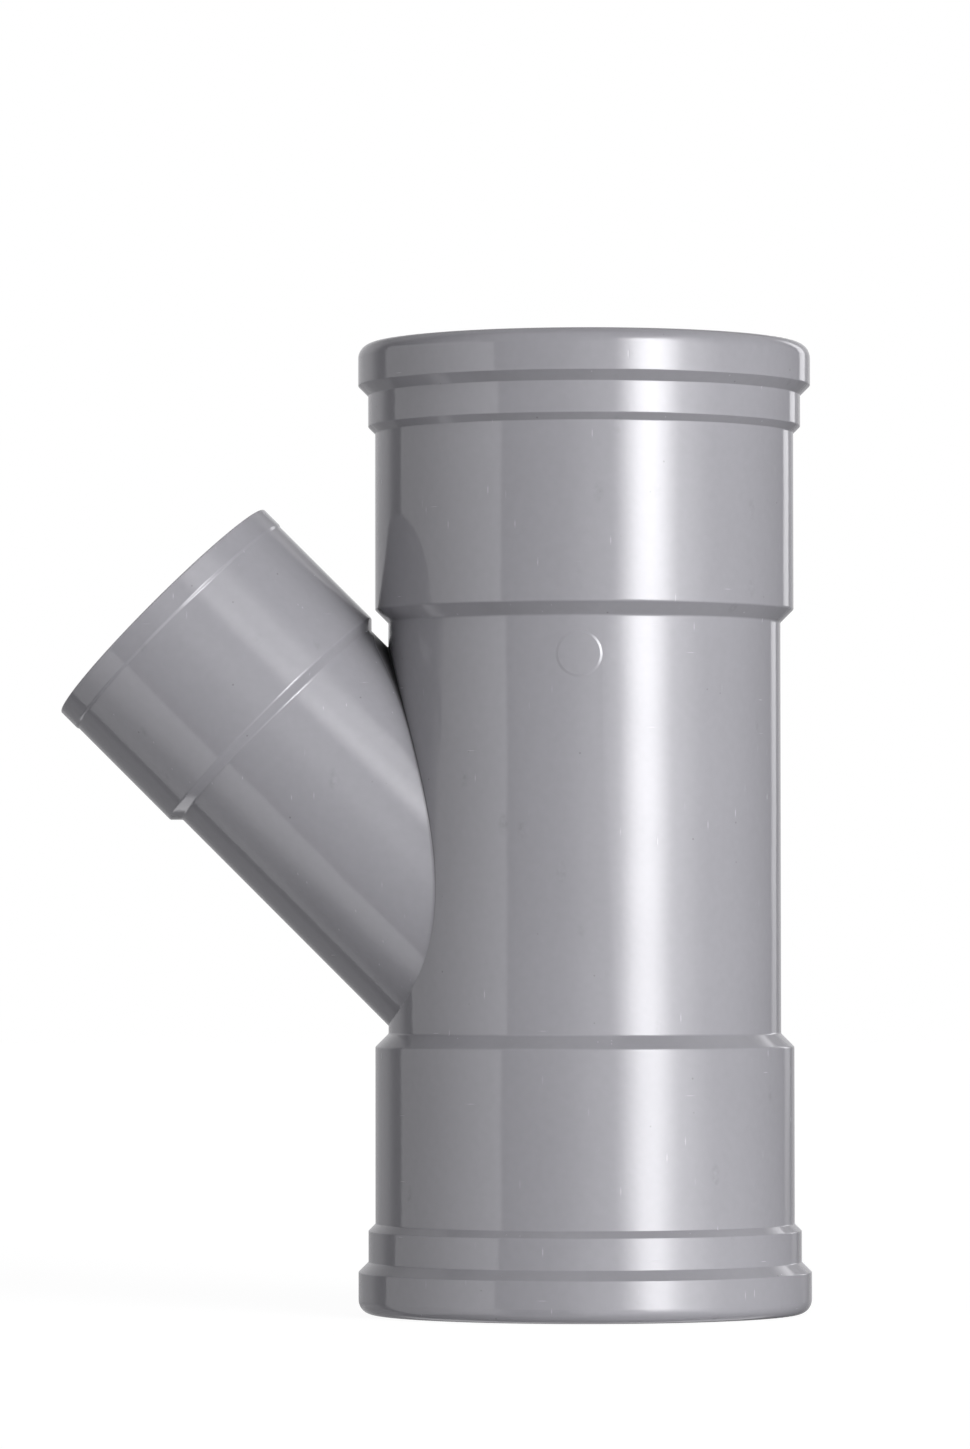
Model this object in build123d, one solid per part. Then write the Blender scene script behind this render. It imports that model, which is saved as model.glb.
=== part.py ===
from build123d import *

from math import cos, radians, sin, tan
import os

# A lateral wye for drain pipe: one moulded body with three sockets, and two rubber ring seals.
# The run stands upright on Z and has a ring-seal socket at each end. The branch leaves it on the
# -X side, leaning up, and ends in a plain socket for solvent cement. The origin is the centre of
# the lower socket's mouth, on which the fitting stands. All sizes are in millimetres.

# Pipes that the fitting joins, how far they go in, and the play around them
run_pipe_od = 110.0
branch_pipe_od = 75.0
run_insertion = 74.0
branch_insertion = 42.5
run_socket_clearance = 0.4
branch_socket_clearance = 0.15

# The branch, and the plain lengths of tube that stay between it and the sockets
branch_angle = 45.0
lower_land = 2.15
upper_land = 6.85
branch_land = 6.9

# Walls
run_wall = 3.2
branch_wall = 3.0
run_socket_wall = 3.3
branch_socket_wall = 2.35

# Seal housing at each mouth of the run: a wide collar, then a narrower one
collar_rise = 4.75
collar_length = 11.7
second_collar_rise = 1.95
second_collar_length = 8.7
mouth_clearance = 0.8
mouth_lip = 3.2
mouth_round = 4.0
mouth_lead = 0.9

# The cone where a socket meets its tube: how far past the pipe stop it starts, and its soft edges
cone_lead = 0.65
cone_round = 0.8

# Band round the mouth of the branch, with a soft step up to it, and the lead-in inside it
band_length = 6.9
band_rise = 0.3
band_slope_length = 0.7
band_round = 0.8
branch_lead_length = 1.2
branch_lead_width = 0.6

# Rounds on edges, on the inner edge of the pipe stops, and in the creases beside the branch
edge_round = 0.4
stop_round = 1.2
outer_crease_round = 0.2
inner_crease_round = 1.0

# Closed gate on the front of the run, below the upper socket: a flat disc with a narrow bevel
gate_radius = 5.75
gate_rise = 0.14
gate_bevel_width = 0.8
gate_bevel_depth = 0.17
gate_drop = 10.65

# Ring seal: a bead that fills the wide collar, a wiper ridge, and a lip laid back along the pipe
seal_clearance = 0.1
seal_bead_length = 9.2
seal_lip_gap = 0.2
seal_lip_land = 5.0
seal_lip_thickness = 1.5
seal_relief = 1.2
seal_ridge_gap = 0.5
seal_ridge_depth = 1.75

# Radii of the run and of the branch
run_radius = run_pipe_od / 2
run_bore_radius = run_radius - run_wall
run_socket_radius = run_radius + run_socket_clearance
run_socket_outer = run_socket_radius + run_socket_wall
collar_outer = run_socket_outer + collar_rise
second_collar_outer = run_socket_outer + second_collar_rise
groove_radius = collar_outer - run_socket_wall
second_groove_radius = second_collar_outer - run_socket_wall
mouth_radius = run_radius + mouth_clearance
branch_radius = branch_pipe_od / 2
branch_bore_radius = branch_radius - branch_wall
branch_socket_radius = branch_radius + branch_socket_clearance
branch_socket_outer = branch_socket_radius + branch_socket_wall
band_outer = branch_socket_outer + band_rise

# Depths from a mouth of the run. Each step outside is a cone of 45 degrees. Inside, its corners
# lie nearer the mouth by corner_shift, so that the wall keeps its thickness round the step.
corner_shift = run_socket_wall * tan(radians(45 / 2))
second_collar_start = collar_length + collar_outer - second_collar_outer
second_collar_end = second_collar_start + second_collar_length
socket_start = second_collar_end + second_collar_outer - run_socket_outer
cone_start = run_insertion + cone_lead
tube_start = cone_start + run_socket_outer - run_radius

# Places where the outlines of the run and the branch meet, below and above the branch, and the
# lengths that follow from them. Reaches are along the branch, from the crossing of the two axes.
lean = radians(branch_angle)
lower_reach = (run_radius - branch_radius * cos(lean)) / sin(lean)
upper_reach = (run_radius + branch_radius * cos(lean)) / sin(lean)
crossing_height = tube_start + lower_land + branch_radius * sin(lean) - lower_reach * cos(lean)
upper_crotch = crossing_height + upper_reach * cos(lean) + branch_radius * sin(lean)
upper_mouth = upper_crotch + upper_land + tube_start
branch_cone = upper_reach + branch_land
branch_socket_start = branch_cone + branch_socket_outer - branch_radius
branch_stop = branch_socket_start + cone_lead
branch_mouth = branch_stop + branch_insertion
band_start = branch_mouth - band_length

# The branch is drawn upright, and this plane lays it along its own axis
branch_plane = Plane(
    origin=(0, 0, crossing_height),
    x_dir=(cos(lean), 0, sin(lean)),
    z_dir=(-sin(lean), 0, cos(lean)),
)


def turned(corners):
    """The solid turned about Z from an outline of (radius, height, rounding) corners."""
    points = [(radius, height) for radius, height, rounding in corners]
    rounds = [rounding for radius, height, rounding in corners]
    outline = FilletPolyline(*points, radius=rounds, close=True)
    return revolve(Plane.XZ * make_face(outline), Axis.Z)


def upside_down(corners):
    """The same outline at the upper mouth, in the order that goes on up the run."""
    return [(radius, upper_mouth - depth, rounding) for radius, depth, rounding in reversed(corners)]


def run_bar(corners):
    """A solid bar along the run, with the same socket outline at each end."""
    return turned([(0, 0, 0), *corners, *upside_down(corners), (0, upper_mouth, 0)])


def run_outside():
    """The outside of the run: collars, socket and cone at each end, and the tube between."""
    return run_bar(
        [
            (collar_outer, 0, mouth_round),
            (collar_outer, collar_length, edge_round),
            (second_collar_outer, second_collar_start, edge_round),
            (second_collar_outer, second_collar_end, edge_round),
            (run_socket_outer, socket_start, edge_round),
            (run_socket_outer, cone_start, cone_round),
            (run_radius, tube_start, cone_round),
        ]
    )


def run_inside():
    """The space in the run: lead-in, mouth lip, stepped seal groove, socket and pipe stop."""
    return run_bar(
        [
            (mouth_radius + mouth_lead, 0, 0),
            (mouth_radius, mouth_lead, 0),
            (mouth_radius, mouth_lip, 0),
            (groove_radius, mouth_lip, edge_round),
            (groove_radius, collar_length - corner_shift, edge_round),
            (second_groove_radius, second_collar_start - corner_shift, edge_round),
            (second_groove_radius, second_collar_end - corner_shift, edge_round),
            (run_socket_radius, socket_start - corner_shift, 0),
            (run_socket_radius, run_insertion, edge_round),
            (run_bore_radius, run_insertion, stop_round),
        ]
    )


def branch_outside():
    """The outside of the branch, from the run's axis: tube, cone, socket and mouth band."""
    return branch_plane * turned(
        [
            (0, 0, 0),
            (branch_radius, 0, 0),
            (branch_radius, branch_cone, cone_round),
            (branch_socket_outer, branch_socket_start, cone_round),
            (branch_socket_outer, band_start, band_round),
            (band_outer, band_start + band_slope_length, band_round),
            (band_outer, branch_mouth, edge_round),
            (0, branch_mouth, 0),
        ]
    )


def branch_inside():
    """The space in the branch, from the run's axis: bore, pipe stop, socket and lead-in."""
    return branch_plane * turned(
        [
            (0, 0, 0),
            (branch_bore_radius, 0, 0),
            (branch_bore_radius, branch_stop, stop_round),
            (branch_socket_radius, branch_stop, edge_round),
            (branch_socket_radius, branch_mouth - branch_lead_length, 0),
            (branch_socket_radius + branch_lead_width, branch_mouth, 0),
            (0, branch_mouth, 0),
        ]
    )


def rounded_crease(bars, rounding):
    """Bars of the run and the branch joined, with the crease between them rounded.

    The crease is the only edge that is neither a line nor a circle.
    """
    plain = (GeomType.LINE, GeomType.CIRCLE)
    crease = [edge for edge in bars.edges() if edge.geom_type not in plain]
    return fillet(crease, rounding)


def gate_mark():
    """The closed gate: a disc a hair proud of the run, with a bevel that sinks into the run's curve."""
    facing = Plane(origin=(0, 0, upper_crotch + upper_land - gate_drop), z_dir=(0, -1, 0))
    plug = facing * extrude(Circle(gate_radius + gate_bevel_width), collar_outer)
    skin = Cylinder(run_radius + gate_rise, upper_mouth, align=(Align.CENTER, Align.CENTER, Align.MIN))
    disc = plug & skin
    front = disc.faces().sort_by(Axis.Y)[0]
    return chamfer(front.edges(), gate_bevel_width, gate_bevel_depth, reference=front)


def moulded_body():
    """The whole moulding: the outside with its gate, less the space inside."""
    outside = rounded_crease(run_outside() + branch_outside(), outer_crease_round)
    inside = rounded_crease(run_inside() + branch_inside(), inner_crease_round)
    return outside + gate_mark() - inside


def seal_corners():
    """The ring seal's section, as depths from the mouth: round the outside, then back inside."""
    front = mouth_lip + seal_clearance
    back = front + seal_bead_length
    bead_outer = groove_radius - seal_clearance
    neck_outer = second_groove_radius - seal_clearance
    bead_end = collar_length - corner_shift - seal_clearance * tan(radians(45 / 2))
    neck_start = bead_end + bead_outer - neck_outer
    lip_inner = run_radius + seal_lip_gap
    lip_outer = lip_inner + seal_lip_thickness
    lip_start = back + 2 * seal_relief
    lip_end = lip_start + seal_lip_land
    bead_inner = lip_inner + seal_relief
    ridge_inner = lip_inner + seal_ridge_gap
    ridge_half = bead_inner - ridge_inner
    ridge = front + seal_ridge_depth
    tip_round = edge_round / 2
    return [
        (bead_outer, front, edge_round),
        (bead_outer, bead_end, edge_round),
        (neck_outer, neck_start, edge_round),
        (lip_outer, lip_start, edge_round),
        (lip_inner + seal_lip_thickness / 2, lip_end, tip_round),
        (lip_inner, lip_end, tip_round),
        (lip_inner, lip_start, edge_round),
        (bead_inner, back, edge_round),
        (bead_inner, ridge + ridge_half, 0),
        (ridge_inner, ridge, tip_round),
        (bead_inner, ridge - ridge_half, 0),
        (bead_inner, front, edge_round),
    ]


os.makedirs("parts", exist_ok=True)
nodes = {
    "body": moulded_body(),
    "lower_seal": turned(seal_corners()),
    "upper_seal": turned(upside_down(seal_corners())),
}
for name, solid in nodes.items():
    export_step(solid, f"parts/{name}.step")
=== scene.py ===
from collections import namedtuple
from math import cos, pi, radians

import bpy
from mathutils import Matrix

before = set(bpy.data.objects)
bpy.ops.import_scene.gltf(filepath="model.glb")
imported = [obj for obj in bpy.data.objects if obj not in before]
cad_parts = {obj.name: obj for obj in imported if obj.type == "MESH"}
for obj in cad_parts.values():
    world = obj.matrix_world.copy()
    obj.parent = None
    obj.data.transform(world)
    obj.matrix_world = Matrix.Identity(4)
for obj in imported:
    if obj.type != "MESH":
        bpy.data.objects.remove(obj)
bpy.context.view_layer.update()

# The photograph is 970 x 1449 pixels, taken from far away with a long lens. The focal length is in
# its pixels, the camera's place is in metres, and its angles are in degrees.
PHOTO_HEIGHT = 1449
FOCAL_PIXELS = 7457
SENSOR = 36.0
CAMERA_DISTANCE = 2.092
CAMERA_HEIGHT = 0.102
CAMERA_SIDESTEP = -0.0279
CAMERA_TURN = 2.25
CAMERA_PITCH = 1.725
CAMERA_ROLL = -0.05
CLIP_END = 50.0

# The run stands on Z. The branch crosses it at 45 degrees, leaning to -X, and makes a sharp crotch.
# All lengths are in metres.
RUN_RADIUS = 0.055
BRANCH_RADIUS = 0.0375
BRANCH_ANGLE = 45.0
CROSSING_HEIGHT = 0.078533
CROTCH_HEIGHT = 0.1866

# The painted shade in the crotch, where shade falls, reaches so far beside the crease, and so much
# further at the top, which it loses over the narrowing depth. It is full down to one depth, and ends
# at another. On the run a distance counts more, so the painted shade is narrower there.
CREASE_REACH = 0.0008
CROTCH_REACH = 0.0065
NARROWING_DEPTH = 0.024
FULL_DEPTH = 0.02
END_DEPTH = 0.09
RUN_FACTOR = 2.0

# The floor: half its side, and how far it lies below the rim, in metres. It glows by itself.
FLOOR_REACH = 6.0
FLOOR_DROP = 0.0002
FLOOR_GREY = 0.12
FLOOR_ROUGHNESS = 0.9
FLOOR_GLOW = 0.94
WHITE = (1, 1, 1, 1)

# The plastic and the rubber
PLASTIC = (0.24, 0.238, 0.252)
PLASTIC_IOR = 1.54
RUBBER = (0.02, 0.02, 0.021)

# Soft random variation: cells to the metre, detail, and its lowest and highest value. Heights are
# in metres.
Noise = namedtuple("Noise", "per_metre detail low high")
CLOUD = Noise(22, 1.0, 0.975, 1.025)
MOTTLE = Noise(420, 1.0, 0.98, 1.02)
SMUDGE_BREAKS = Noise(650, 2.0, -0.4, 1.0)
PLASTIC_ROUGHNESS = Noise(60, 1.0, 0.065, 0.095)
WAVES = Noise(38, 0.0, 0.0, 0.00009)
PEEL = Noise(700, 0.0, 0.0, 0.000006)
DUST = Noise(90, 4.0, 0.85, 1.35)
RUBBER_ROUGHNESS = Noise(150, 3.0, 0.48, 0.64)
GRAIN = Noise(1500, 2.0, 0.0, 0.00002)
NOISE_LOW, NOISE_HIGH = 0.2, 0.8

# Small separate marks: cells to the metre along each axis, how far a mark reaches in its cell, and
# the share of the cells that have one
Marks = namedtuple("Marks", "per_metre reach share")
SPECKS = Marks((260, 260, 260), 0.09, 0.09)
UPRIGHT_SCUFFS = Marks((800, 800, 130), 0.22, 0.045)
LEVEL_SCUFFS = Marks((100, 100, 1300), 0.2, 0.02)
SMUDGES = Marks((190, 190, 95), 0.34, 0.06)

# What the marks and the painted shade in the crotch do to the plastic's shade, roughness and height
SPECK_SHADE, SCUFF_SHADE, SMUDGE_SHADE, PAINTED_CROTCH_SHADE = -0.3, 0.16, -0.16, -0.97
SCUFF_ROUGHNESS, CROTCH_ROUGHNESS = 0.2, 0.5
SCUFF_HEIGHT, SPECK_HEIGHT = -0.000012, 0.00001

# The soft panels of the studio, as the fitting sees them. Directions are in degrees: azimuth to the
# right of the camera, and elevation up from level. A panel is evenly bright over its half width and
# half height, and fades out over a margin round them. A slope makes it brighter towards the right.
# Most of the panels' numbers, the room's light and the plastic's lightness are rounded results of a
# least-squares fit to the photograph's greys, made by a separate program. Set one by one are
# rear_high, rear_floor, the slope, nearly all of low_left, and part of left_board, back_strip, table
# and front.
Panel = namedtuple(
    "Panel",
    "azimuth elevation half_width half_height fade_across fade_up brightness slope",
    defaults=(0.0,),
)
PANELS = {
    "key": Panel(36, 12, 1, 3, 20, 22, 13),
    "key_spill": Panel(50, 12, 1.5, 22, 28, 15.5, 2.85),
    "low_key": Panel(38, -10, 2.5, 4, 8, 5.5, 2.9),
    "right_wall": Panel(53, -16, 12, 19, 58, 4, 0.88),
    "ceiling": Panel(-37, 59, 28, 34, 53, 34, 0.28),
    "left_board": Panel(-82.2, -11.7, 37.2, 27.2, 0.8, 4, 0.83, 0.3),
    "low_left": Panel(-152, -21, 20, 11, 9, 5, 0.21),
    "back_left": Panel(-165.5, 11, 25, 0, 16.5, 31, 0.6),
    "back_right": Panel(153, 20, 6.5, 11.5, 2.5, 8.5, 0.29),
    "back_strip": Panel(150, 14, 3.5, 8, 3, 11, 1.6),
    "rear_high": Panel(180, 54, 45, 12, 30, 16, 0.4),
    "rear_floor": Panel(180, -44, 20, 6, 20, 8, 1.2),
    "table": Panel(80, -93, 48, 9, 13, 40, 0.26),
    "front": Panel(26, -17, 18, 21, 20, 20, 0.56),
}
ROOM_LIGHT = 0.082
LIGHT_COLOUR = (1.0, 0.995, 1.02, 1.0)


def node(tree, kind, inputs=(), **settings):
    """A new shader node with its settings and its inputs: numbers, colours or links."""
    made = tree.nodes.new(kind)
    for name, value in settings.items():
        setattr(made, name, value)
    for socket, value in dict(inputs).items():
        if isinstance(value, bpy.types.NodeSocket):
            tree.links.new(value, made.inputs[socket])
        else:
            made.inputs[socket].default_value = value
    return made


def math_node(tree, operation, *values):
    """A maths node on numbers or links."""
    return node(tree, "ShaderNodeMath", dict(enumerate(values)), operation=operation).outputs[0]


def map_range(tree, value, from_low, from_high, to_low, to_high, shape="LINEAR"):
    """A value taken from one range to another, and held at the ends."""
    inputs = {
        "Value": value,
        "From Min": from_low,
        "From Max": from_high,
        "To Min": to_low,
        "To Max": to_high,
    }
    return node(tree, "ShaderNodeMapRange", inputs, interpolation_type=shape).outputs[0]


def new_material(name):
    """A new material, its node tree and its shader."""
    material = bpy.data.materials.new(name)
    material.use_nodes = True
    return material, material.node_tree, material.node_tree.nodes["Principled BSDF"]


def panel_fade(tree, distance, half, fade):
    """1 within the half size of a panel, and down to 0 over its margin. Sizes are in degrees."""
    return map_range(tree, distance, radians(half), radians(half + fade), 1.0, 0.0, "SMOOTHSTEP")


def panel_light(tree, turn, rise, panel):
    """The light of one panel at a direction, given as its azimuth and elevation in radians."""
    off = math_node(tree, "SUBTRACT", turn, radians(panel.azimuth))
    off = math_node(tree, "WRAP", off, pi, -pi)
    across = math_node(tree, "ABSOLUTE", off)
    up = math_node(tree, "SUBTRACT", rise, radians(panel.elevation))
    up = math_node(tree, "ABSOLUTE", up)
    light = math_node(
        tree,
        "MULTIPLY",
        panel_fade(tree, across, panel.half_width, panel.fade_across),
        panel_fade(tree, up, panel.half_height, panel.fade_up),
    )
    brightness = panel.brightness
    if panel.slope:
        brightness = map_range(
            tree,
            off,
            radians(-panel.half_width),
            radians(panel.half_width),
            panel.brightness * (1 - panel.slope),
            panel.brightness * (1 + panel.slope),
        )
    return math_node(tree, "MULTIPLY", light, brightness)


def studio_light():
    """The far studio, as light that depends on direction alone. The camera sees plain white."""
    world = bpy.data.worlds.new("studio")
    bpy.context.scene.world = world
    world.use_nodes = True
    tree = world.node_tree
    tree.nodes.clear()
    direction = node(tree, "ShaderNodeTexCoord").outputs["Generated"]
    parts = node(tree, "ShaderNodeSeparateXYZ", {0: direction}).outputs
    ahead = math_node(tree, "MULTIPLY", parts["Y"], -1.0)
    turn = math_node(tree, "ARCTAN2", parts["X"], ahead)
    rise = math_node(tree, "ARCSINE", parts["Z"])
    total = ROOM_LIGHT
    for panel in PANELS.values():
        total = math_node(tree, "ADD", panel_light(tree, turn, rise, panel), total)
    light = node(tree, "ShaderNodeBackground", {"Color": LIGHT_COLOUR, "Strength": total})
    white = node(tree, "ShaderNodeBackground", {"Color": WHITE, "Strength": 1.0})
    seen = node(tree, "ShaderNodeLightPath").outputs["Is Camera Ray"]
    mixed = node(tree, "ShaderNodeMixShader", {0: seen, 1: light.outputs[0], 2: white.outputs[0]})
    node(tree, "ShaderNodeOutputWorld", {"Surface": mixed.outputs[0]})


def pale_floor():
    """A white floor, a hair below the rim that the fitting stands on. It lights nothing."""
    mesh = bpy.data.meshes.new("floor")
    signs = [(-1, -1), (1, -1), (1, 1), (-1, 1)]
    corners = [(FLOOR_REACH * x, FLOOR_REACH * y, -FLOOR_DROP) for x, y in signs]
    mesh.from_pydata(corners, [], [(0, 1, 2, 3)])
    floor = bpy.data.objects.new("floor", mesh)
    bpy.context.scene.collection.objects.link(floor)
    material, tree, shader = new_material("floor")
    shader.inputs["Base Color"].default_value = (FLOOR_GREY, FLOOR_GREY, FLOOR_GREY, 1)
    shader.inputs["Roughness"].default_value = FLOOR_ROUGHNESS
    shader.inputs["Specular IOR Level"].default_value = 0.0
    shader.inputs["Emission Color"].default_value = WHITE
    shader.inputs["Emission Strength"].default_value = FLOOR_GLOW
    mesh.materials.append(material)
    floor.visible_glossy = False
    floor.visible_diffuse = False
    floor.visible_shadow = False


def place_on_part(tree, per_metre):
    """Places on the part, in cells of so many to the metre along each axis."""
    place = node(tree, "ShaderNodeTexCoord").outputs["Object"]
    return node(tree, "ShaderNodeMapping", {"Vector": place, "Scale": per_metre}).outputs[0]


def variation(tree, noise):
    """Soft random variation over the part, between the noise's lowest and highest value."""
    place = place_on_part(tree, (noise.per_metre, noise.per_metre, noise.per_metre))
    inputs = {"Vector": place, "Scale": 1.0, "Detail": noise.detail}
    pattern = node(tree, "ShaderNodeTexNoise", inputs).outputs[0]
    return map_range(tree, pattern, NOISE_LOW, NOISE_HIGH, noise.low, noise.high)


def scatter(tree, marks):
    """Small separate marks, 1 in their middle and 0 outside, in a random share of the cells."""
    place = place_on_part(tree, marks.per_metre)
    cells = node(tree, "ShaderNodeTexVoronoi", {"Vector": place, "Scale": 1.0}, feature="F1")
    shape = map_range(tree, cells.outputs["Distance"], marks.reach, marks.reach / 2, 0.0, 1.0)
    draw = node(tree, "ShaderNodeSeparateColor", {"Color": cells.outputs["Color"]}).outputs[0]
    return math_node(tree, "MULTIPLY", shape, math_node(tree, "LESS_THAN", draw, marks.share))


def tinted(tree, colour, shade):
    """A colour that is scaled by a shade that varies over the surface."""
    inputs = {0: colour, "Scale": shade}
    return node(tree, "ShaderNodeVectorMath", inputs, operation="SCALE").outputs[0]


def bumped(tree, shader, height):
    """Gives a shader a surface that rises by a height in metres."""
    inputs = {"Height": height, "Distance": 1.0, "Strength": 1.0}
    bump = node(tree, "ShaderNodeBump", inputs)
    tree.links.new(bump.outputs[0], shader.inputs["Normal"])


def apart(tree, across, along, radius):
    """How far a place is from a pipe's surface, by its two coordinates square to the axis."""
    across = math_node(tree, "POWER", across, 2.0)
    along = math_node(tree, "POWER", along, 2.0)
    out = math_node(tree, "SQRT", math_node(tree, "ADD", across, along))
    return math_node(tree, "ABSOLUTE", math_node(tree, "SUBTRACT", out, radius))


def painted_crotch_shade_mask(tree):
    """Painted shade in the sharp crotch over the branch, which narrows to a line down the crease."""
    place = node(tree, "ShaderNodeTexCoord").outputs["Object"]
    x, y, z = node(tree, "ShaderNodeSeparateXYZ", {0: place}).outputs
    over = math_node(tree, "SUBTRACT", z, CROSSING_HEIGHT)
    over = math_node(tree, "ADD", x, over)
    over = math_node(tree, "MULTIPLY", over, cos(radians(BRANCH_ANGLE)))
    off_branch = apart(tree, over, y, BRANCH_RADIUS)
    off_run = apart(tree, x, y, RUN_RADIUS)
    gap = math_node(tree, "MULTIPLY_ADD", off_branch, RUN_FACTOR, off_run)
    top = map_range(tree, z, CROTCH_HEIGHT - NARROWING_DEPTH, CROTCH_HEIGHT, 0.0, 1.0)
    top = math_node(tree, "POWER", top, 2.0)
    reach = math_node(tree, "MULTIPLY_ADD", top, CROTCH_REACH, CREASE_REACH)
    near = math_node(tree, "DIVIDE", gap, reach)
    near = map_range(tree, near, 0.0, 1.0, 1.0, 0.0, "SMOOTHSTEP")
    share = map_range(tree, z, CROTCH_HEIGHT - END_DEPTH, CROTCH_HEIGHT - FULL_DEPTH, 0.0, 1.0)
    return math_node(tree, "MULTIPLY", near, share)


def moulded_plastic():
    """Grey moulded plastic: glossy, a little wavy, with mottling, specks, scuffs, smudges and
    painted crotch shade.
    """
    material, tree, shader = new_material("moulded_plastic")
    specks = scatter(tree, SPECKS)
    upright_scuffs = scatter(tree, UPRIGHT_SCUFFS)
    level_scuffs = scatter(tree, LEVEL_SCUFFS)
    scuffs = math_node(tree, "MAXIMUM", upright_scuffs, level_scuffs)
    smudges = scatter(tree, SMUDGES)
    smudges = math_node(tree, "MULTIPLY", smudges, variation(tree, SMUDGE_BREAKS))
    # Painted shade in the crotch, where shade falls: it darkens the colour and raises the roughness
    crotch = painted_crotch_shade_mask(tree)

    shade = math_node(tree, "MULTIPLY", variation(tree, CLOUD), variation(tree, MOTTLE))
    shade = math_node(tree, "MULTIPLY_ADD", specks, SPECK_SHADE, shade)
    shade = math_node(tree, "MULTIPLY_ADD", scuffs, SCUFF_SHADE, shade)
    shade = math_node(tree, "MULTIPLY_ADD", smudges, SMUDGE_SHADE, shade)
    kept = math_node(tree, "MULTIPLY_ADD", crotch, PAINTED_CROTCH_SHADE, 1.0)
    shade = math_node(tree, "MULTIPLY", shade, kept)
    tree.links.new(tinted(tree, PLASTIC, shade), shader.inputs["Base Color"])

    roughness = variation(tree, PLASTIC_ROUGHNESS)
    roughness = math_node(tree, "MULTIPLY_ADD", scuffs, SCUFF_ROUGHNESS, roughness)
    roughness = math_node(tree, "MULTIPLY_ADD", crotch, CROTCH_ROUGHNESS, roughness)
    tree.links.new(roughness, shader.inputs["Roughness"])

    height = math_node(tree, "ADD", variation(tree, WAVES), variation(tree, PEEL))
    height = math_node(tree, "MULTIPLY_ADD", scuffs, SCUFF_HEIGHT, height)
    height = math_node(tree, "MULTIPLY_ADD", specks, SPECK_HEIGHT, height)
    bumped(tree, shader, height)
    shader.inputs["IOR"].default_value = PLASTIC_IOR
    return material


def seal_rubber():
    """Matte black rubber with a fine grain and a little dust."""
    material, tree, shader = new_material("seal_rubber")
    tree.links.new(tinted(tree, RUBBER, variation(tree, DUST)), shader.inputs["Base Color"])
    tree.links.new(variation(tree, RUBBER_ROUGHNESS), shader.inputs["Roughness"])
    bumped(tree, shader, variation(tree, GRAIN))
    return material


def photo_camera():
    """The camera at the photograph's place: level with the lower part, looking slightly up."""
    data = bpy.data.cameras.new("camera")
    data.sensor_fit = "AUTO"
    data.sensor_width = SENSOR
    data.lens = FOCAL_PIXELS * SENSOR / PHOTO_HEIGHT
    data.clip_end = CLIP_END
    camera = bpy.data.objects.new("camera", data)
    bpy.context.scene.collection.objects.link(camera)
    camera.matrix_world = (
        Matrix.Rotation(radians(CAMERA_TURN), 4, "Z")
        @ Matrix.Translation((CAMERA_SIDESTEP, -CAMERA_DISTANCE, CAMERA_HEIGHT))
        @ Matrix.Rotation(radians(90 + CAMERA_PITCH), 4, "X")
        @ Matrix.Rotation(radians(CAMERA_ROLL), 4, "Z")
    )
    bpy.context.scene.camera = camera


def dress(name, material):
    """Gives a CAD node its material."""
    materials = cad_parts[name].data.materials
    materials.clear()
    materials.append(material)


plastic = moulded_plastic()
rubber = seal_rubber()
dress("body", plastic)
dress("lower_seal", rubber)
dress("upper_seal", rubber)
studio_light()
pale_floor()
photo_camera()

scene = bpy.context.scene
scene.view_settings.view_transform = "Standard"
scene.view_settings.look = "None"
